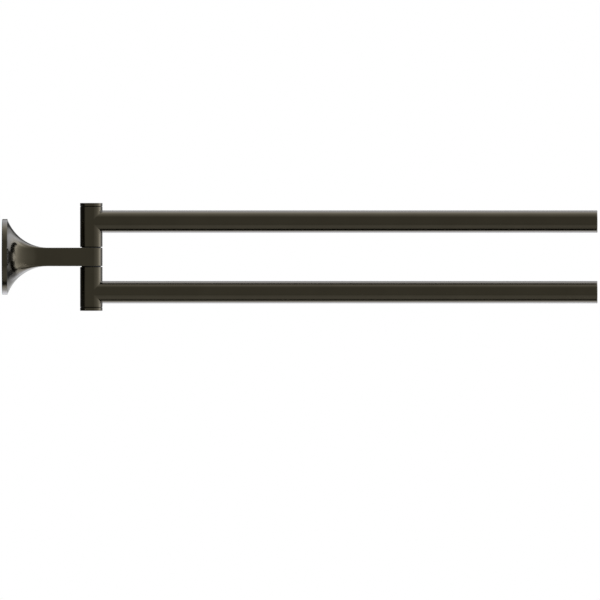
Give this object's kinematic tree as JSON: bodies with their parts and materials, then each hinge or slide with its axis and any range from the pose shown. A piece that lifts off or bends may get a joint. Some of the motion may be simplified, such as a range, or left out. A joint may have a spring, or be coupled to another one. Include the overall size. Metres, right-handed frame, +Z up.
{
  "type": "double towel bar",
  "caption": "Wall-mounted double towel bar: a round flange flares into a short arm whose upright pivot carries stacked straight bars that swivel independently.",
  "frame": {"origin": "centre of the wall plate's back face, on the wall", "axes": "+X out of the wall along the bars at rest, +Z up, +Y to the right of someone facing the wall"},
  "size_m": [0.4255, 0.0542, 0.0772],
  "materials": {
    "dark_coating": "satin",
    "bare_brass": "satin",
    "zinc": "satin",
    "steel": "satin",
    "acetal": "matte",
    "seal_rubber": "matte"
  },
  "bodies": {
    "wall_arm": {"wall_plate": "zinc", "arm": "dark_coating", "base_grub_screw": "steel", "pivot_pin": "steel", "upper_friction_washer": "acetal", "upper_thrust_washer": "steel", "upper_disc_spring": "steel", "upper_retaining_screw": "steel", "lower_friction_washer": "acetal", "lower_thrust_washer": "steel", "lower_disc_spring": "steel", "lower_retaining_screw": "steel"},
    "upper_swivel_bar": {"upper_knuckle": "dark_coating", "upper_pivot_bush": "acetal", "upper_bar": "dark_coating", "upper_bar_spigot": "bare_brass", "upper_bar_end_plug": "dark_coating", "upper_cap": "dark_coating", "upper_cap_o_ring": "seal_rubber"},
    "lower_swivel_bar": {"lower_knuckle": "dark_coating", "lower_pivot_bush": "acetal", "lower_bar": "dark_coating", "lower_bar_spigot": "bare_brass", "lower_bar_end_plug": "dark_coating", "lower_cap": "dark_coating", "lower_cap_o_ring": "seal_rubber"}
  },
  "joints": [
    {"name": "upper_bar_swivel", "type": "hinge", "parent": "wall_arm", "child": "upper_swivel_bar", "pos_m": [0.0637, 0, 0], "axis": [0, 0, 1], "range_deg": [-90, 90]},
    {"name": "lower_bar_swivel", "type": "hinge", "parent": "wall_arm", "child": "lower_swivel_bar", "pos_m": [0.0637, 0, 0], "axis": [0, 0, 1], "range_deg": [-90, 90]}
  ]
}
